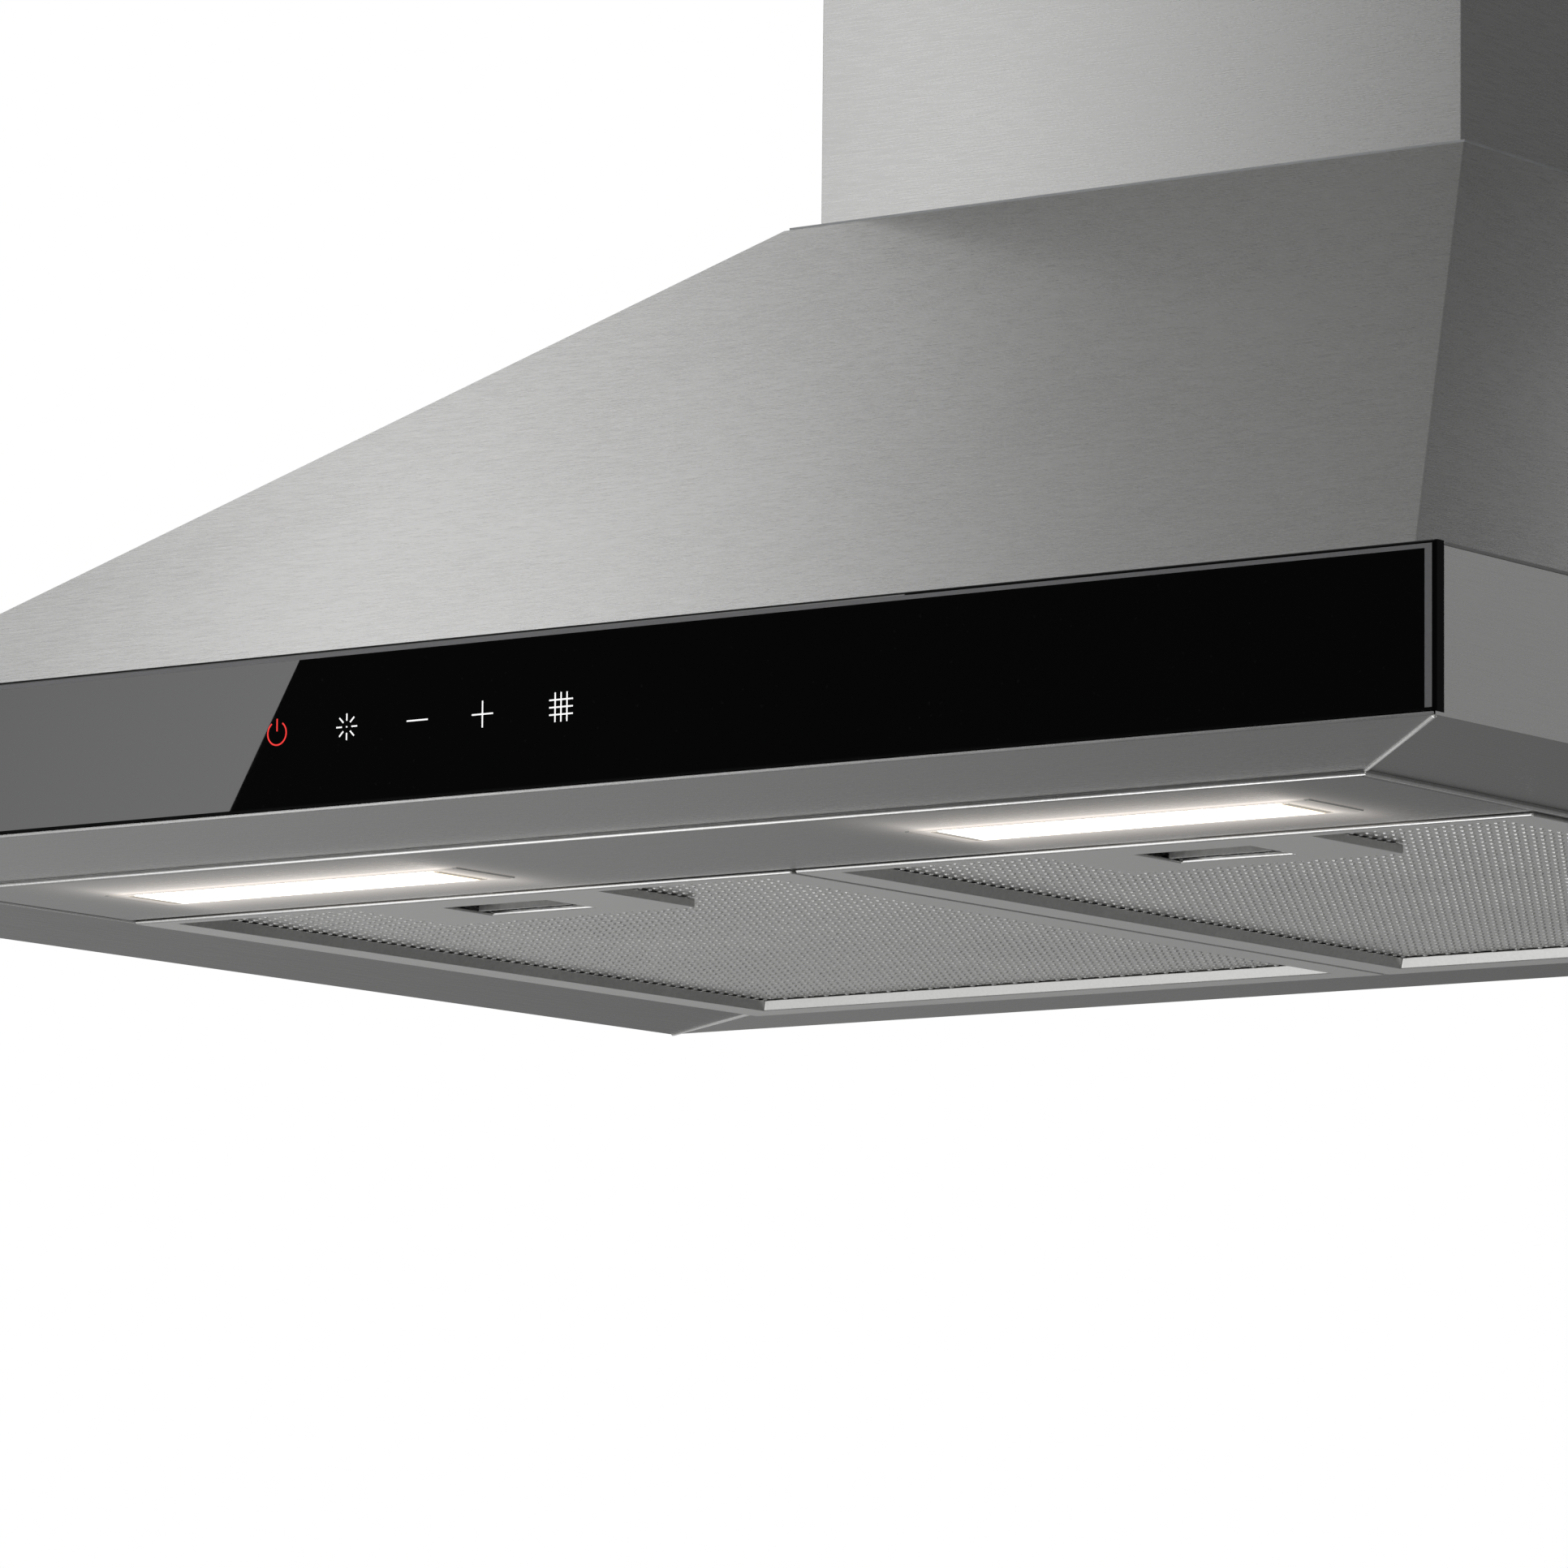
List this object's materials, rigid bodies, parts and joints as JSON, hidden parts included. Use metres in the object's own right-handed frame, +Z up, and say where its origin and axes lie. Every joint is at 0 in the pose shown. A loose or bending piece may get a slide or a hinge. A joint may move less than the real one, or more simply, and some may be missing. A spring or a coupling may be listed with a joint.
{
  "type": "range hood",
  "caption": "Wall-mounted pyramid chimney cooker hood in brushed steel with a black touch-control glass, strip lamps, hinged grease filters and telescoping chimney covers.",
  "frame": {"origin": "middle of the four wall screw holes, on the back face that lies against the wall", "axes": "+Z up, +Y into the wall, +X to the right as seen from the room, so the control glass faces -Y"},
  "size_m": [0.6, 0.5, 0.6423],
  "materials": {
    "steel": "brushed",
    "galvanised": "galvanised, dull",
    "aluminium": "satin",
    "motor_steel": "satin",
    "black_glass": "polished, back-printed black",
    "dark_plastic": "matte",
    "light_plastic": "matte",
    "lamp_lens": "frosted, lit",
    "circuit_board": "circuit board"
  },
  "bodies": {
    "housing": {"front_rail": "steel", "rear_rail": "steel", "left_rail": "steel", "right_rail": "steel", "top_ledge": "steel", "canopy_shell": "steel", "chimney_lower": "steel", "lamp_panel": "steel", "back_panel": "galvanised", "deck_plate": "galvanised", "outlet_screws": "galvanised", "flap_pins": "galvanised", "control_glass": "black_glass", "touch_board": "circuit_board", "control_board": "circuit_board", "touch_cover": "dark_plastic", "control_case": "light_plastic", "cable_gland": "dark_plastic", "scroll_band": "dark_plastic", "scroll_front": "dark_plastic", "scroll_rear": "dark_plastic", "inlet_ring": "dark_plastic", "outlet_base": "dark_plastic", "outlet_walls": "dark_plastic", "outlet_lid": "dark_plastic", "duct_collar": "dark_plastic", "motor": "motor_steel", "lamp_case_left": "light_plastic", "lamp_lens_left": "lamp_lens", "led_board_left": "circuit_board", "lamp_case_right": "light_plastic", "lamp_lens_right": "lamp_lens", "led_board_right": "circuit_board"},
    "chimney_upper": {"chimney_upper": "steel", "chimney_bracket": "galvanised", "bracket_screws": "galvanised"},
    "impeller": {"impeller": "dark_plastic", "motor_shaft": "motor_steel"},
    "flap_front": {"flap_front": "dark_plastic"},
    "flap_rear": {"flap_rear": "dark_plastic"},
    "filter_left": {"filter_frame_left": "aluminium", "filter_face_left": "aluminium", "filter_core_left": "aluminium", "filter_top_left": "aluminium", "filter_hooks_left": "galvanised", "handle_plate_left": "aluminium", "latch_guide_left": "light_plastic", "latch_spring_left": "galvanised"},
    "filter_right": {"filter_frame_right": "aluminium", "filter_face_right": "aluminium", "filter_core_right": "aluminium", "filter_top_right": "aluminium", "filter_hooks_right": "galvanised", "handle_plate_right": "aluminium", "latch_guide_right": "light_plastic", "latch_spring_right": "galvanised"},
    "latch_left": {"latch_slide_left": "aluminium"},
    "latch_right": {"latch_slide_right": "aluminium"}
  },
  "joints": [
    {"name": "filter_left_hinge", "type": "hinge", "parent": "housing", "child": "filter_left", "pos_m": [-0.1156, -0.045, -0.1115], "axis": [1, 0, 0], "range_deg": [0, 60]},
    {"name": "filter_right_hinge", "type": "hinge", "parent": "housing", "child": "filter_right", "pos_m": [0.1156, -0.045, -0.1115], "axis": [1, 0, 0], "range_deg": [0, 60]},
    {"name": "latch_left_slide", "type": "slide", "parent": "filter_left", "child": "latch_left", "axis": [0, 1, 0], "range_m": [0, 0.0065], "stiffness_N_per_m": 300, "springref_m": -0.005, "deforming": ["latch_spring_left"]},
    {"name": "latch_right_slide", "type": "slide", "parent": "filter_right", "child": "latch_right", "axis": [0, 1, 0], "range_m": [0, 0.0065], "stiffness_N_per_m": 300, "springref_m": -0.005, "deforming": ["latch_spring_right"]},
    {"name": "impeller_spin", "type": "hinge", "parent": "housing", "child": "impeller", "pos_m": [0, -0.1, 0.025], "axis": [0, -1, 0], "continuous": true},
    {"name": "flap_front_hinge", "type": "hinge", "parent": "housing", "child": "flap_front", "pos_m": [0, -0.0965, 0.1603], "axis": [-1, 0, 0], "range_deg": [0, 75]},
    {"name": "flap_rear_hinge", "type": "hinge", "parent": "housing", "child": "flap_rear", "pos_m": [0, -0.0885, 0.1603], "axis": [1, 0, 0], "range_deg": [0, 75]},
    {"name": "chimney_slide", "type": "slide", "parent": "housing", "child": "chimney_upper", "axis": [0, 0, 1], "range_m": [0, 0.33]}
  ]
}
